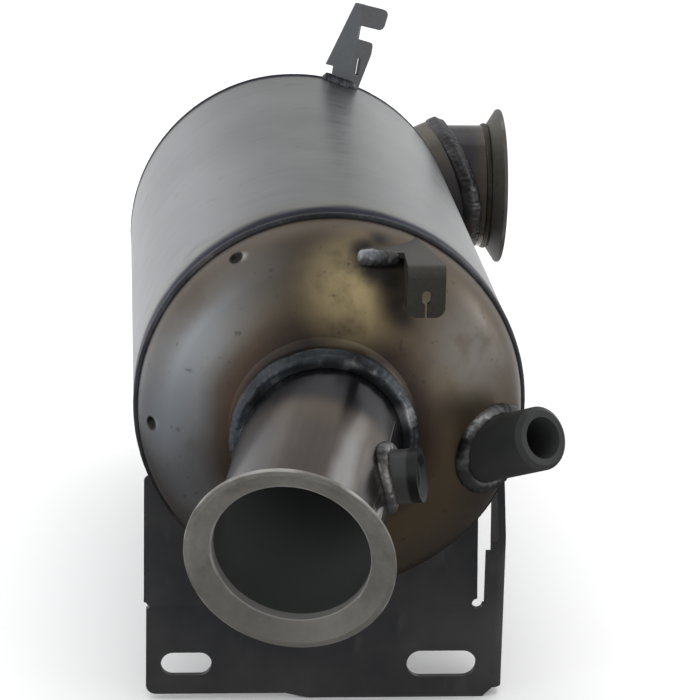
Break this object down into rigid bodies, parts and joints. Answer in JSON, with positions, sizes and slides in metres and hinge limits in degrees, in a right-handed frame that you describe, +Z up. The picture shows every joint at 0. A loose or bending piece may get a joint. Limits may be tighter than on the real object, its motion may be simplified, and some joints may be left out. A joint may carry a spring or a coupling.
{
  "type": "diesel particulate filter",
  "caption": "Round steel exhaust canister with a ceramic soot filter, tilted flanged outlet pipe, flanged side inlet, sensor fittings and a slotted foot bracket.",
  "frame": {"origin": "on the foot bracket's bolt face, midway between its two slots", "axes": "+Z up, +Y back along the canister from its outlet to its inlet, +X to the right when facing the outlet"},
  "size_m": [0.1833, 0.4896, 0.2468],
  "materials": {
    "shell_steel": "satin stainless sheet",
    "tinted_steel": "satin stainless sheet with brown heat tint",
    "pipe_steel": "satin stainless tube with light heat tint",
    "inlet_steel": "satin stainless tube, dark",
    "flange_steel": "turned stainless, matte",
    "weld_steel": "rippled weld bead, blue grey",
    "black_steel": "semi-matte black",
    "bracket_steel": "dark plain steel sheet",
    "filter_ceramic": "porous silicon carbide",
    "filter_cement": "grey ceramic cement",
    "fibre_mat": "pressed mineral fibre"
  },
  "bodies": {
    "root": {"canister_shell": "shell_steel", "outlet_end_cap": "tinted_steel", "inlet_end_cap": "tinted_steel", "outlet_seam_weld": "weld_steel", "inlet_seam_weld": "weld_steel", "filter_segments": "filter_ceramic", "filter_cement": "filter_cement", "support_mat": "fibre_mat", "outlet_pipe": "pipe_steel", "outlet_flange": "flange_steel", "outlet_collar_weld": "weld_steel", "outlet_flange_weld": "weld_steel", "inlet_pipe": "inlet_steel", "inlet_flange": "inlet_steel", "inlet_collar_weld": "weld_steel", "inlet_flange_weld": "weld_steel", "sensor_tube": "black_steel", "sensor_tube_weld": "weld_steel", "sensor_boss": "black_steel", "sensor_boss_weld": "weld_steel", "cap_bracket": "bracket_steel", "cap_bracket_weld": "weld_steel", "rear_bracket": "bracket_steel", "rear_bracket_weld": "weld_steel", "foot_bracket": "black_steel", "foot_bracket_weld": "weld_steel"}
  },
  "joints": []
}
